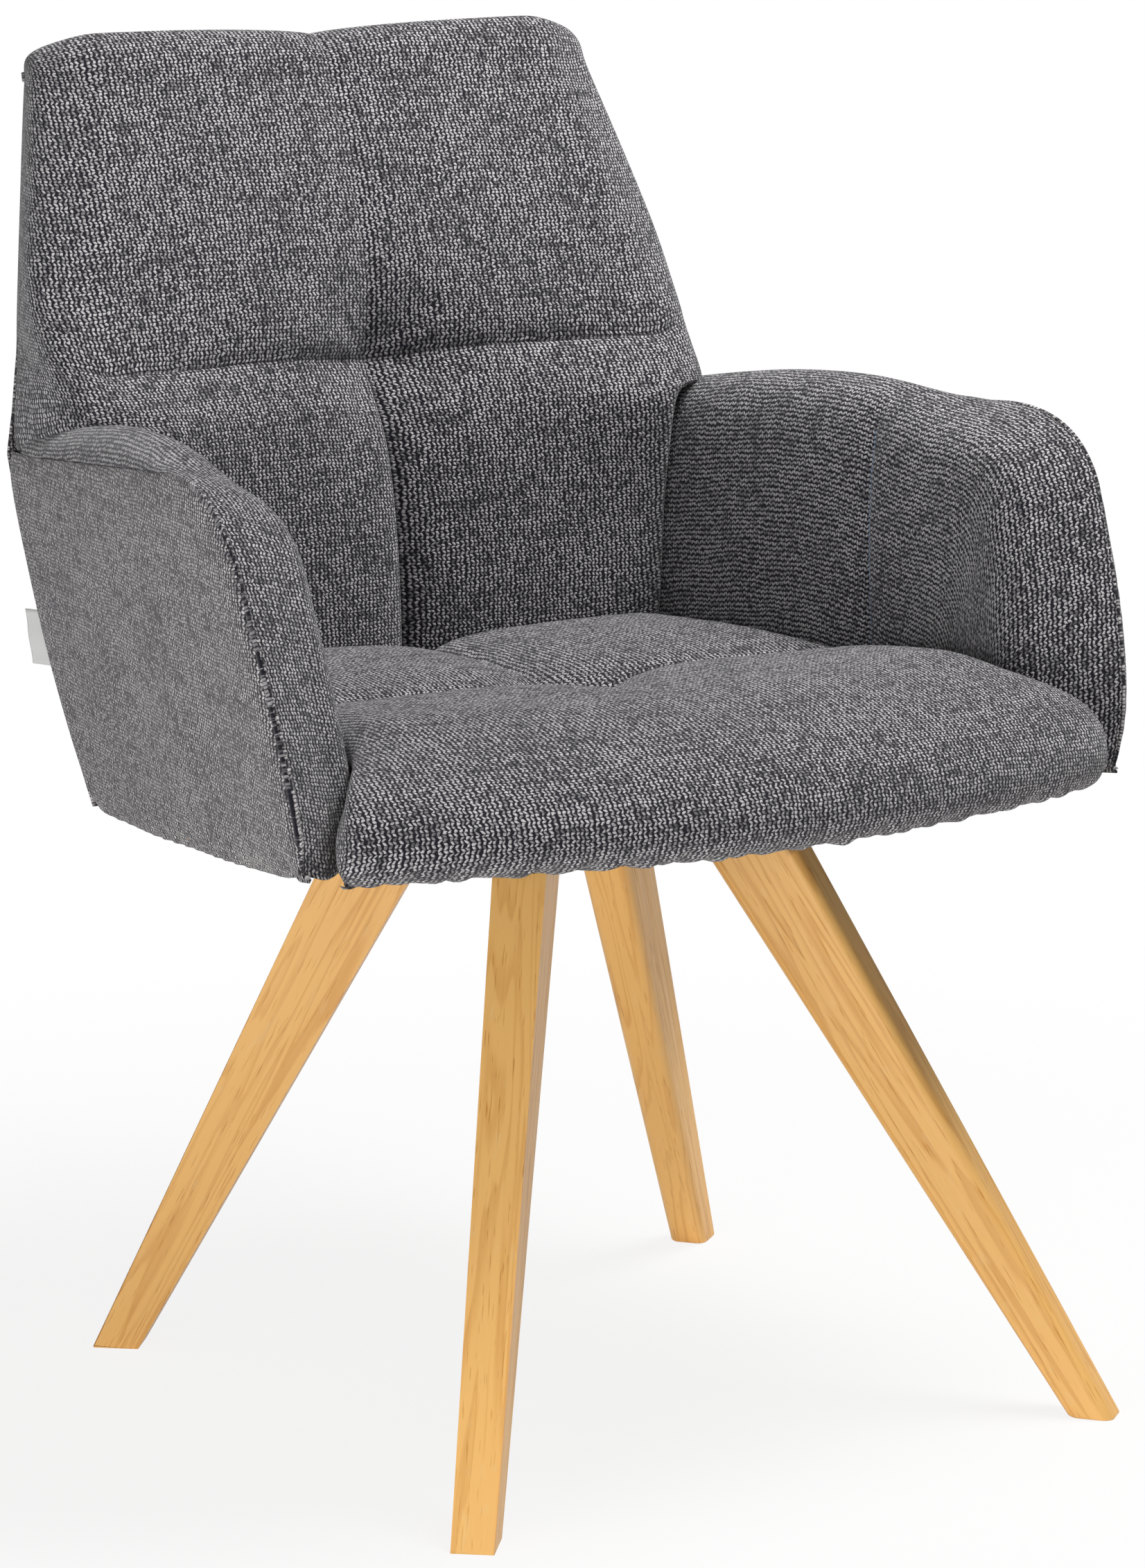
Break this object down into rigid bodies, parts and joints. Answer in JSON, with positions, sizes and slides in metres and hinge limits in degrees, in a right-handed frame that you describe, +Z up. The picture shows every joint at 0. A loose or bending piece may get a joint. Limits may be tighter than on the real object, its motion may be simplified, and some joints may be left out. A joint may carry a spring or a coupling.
{
  "type": "upholstered armchair",
  "caption": "Upholstered bucket armchair with a quilted seat, raked back, sloping padded arms and splayed wooden legs under a steel base plate.",
  "frame": {"origin": "on the floor, under the middle of the chair's bounding box", "axes": "+Z up, -Y is where the chair faces, +X to the sitter's left"},
  "size_m": [0.6468, 0.6595, 0.878],
  "materials": {
    "quilt_fabric": "mottled woven, matte",
    "panel_fabric": "mottled woven, matte",
    "label_tape": "smooth woven tape",
    "foam": "open-cell foam",
    "plywood": "raw",
    "cord": "twisted",
    "black_plastic": "matte",
    "black_cloth": "non-woven",
    "black_steel": "powder coated",
    "bright_steel": "zinc plated",
    "brass": "plain",
    "oak": "oiled"
  },
  "bodies": {
    "root": {"seat_cover": "quilt_fabric", "back_cover": "quilt_fabric", "left_arm_cover": "quilt_fabric", "right_arm_cover": "quilt_fabric", "left_side_cover": "panel_fabric", "right_side_cover": "panel_fabric", "outside_back_cover": "panel_fabric", "label_tab": "label_tape", "seat_foam": "foam", "back_foam": "foam", "left_arm_foam": "foam", "right_arm_foam": "foam", "seat_board": "plywood", "back_board": "plywood", "left_side_board": "plywood", "right_side_board": "plywood", "corner_blocks": "plywood", "frame_screws": "bright_steel", "tuft_ties": "cord", "tuft_anchors": "black_plastic", "dust_cover": "black_cloth", "hem_staples": "bright_steel", "base_plate": "black_steel", "base_bolts": "bright_steel", "base_washers": "bright_steel", "tee_nuts": "bright_steel", "front_left_leg": "oak", "front_right_leg": "oak", "rear_left_leg": "oak", "rear_right_leg": "oak", "leg_bolts": "bright_steel", "leg_washers": "bright_steel", "leg_inserts": "brass"}
  },
  "joints": []
}
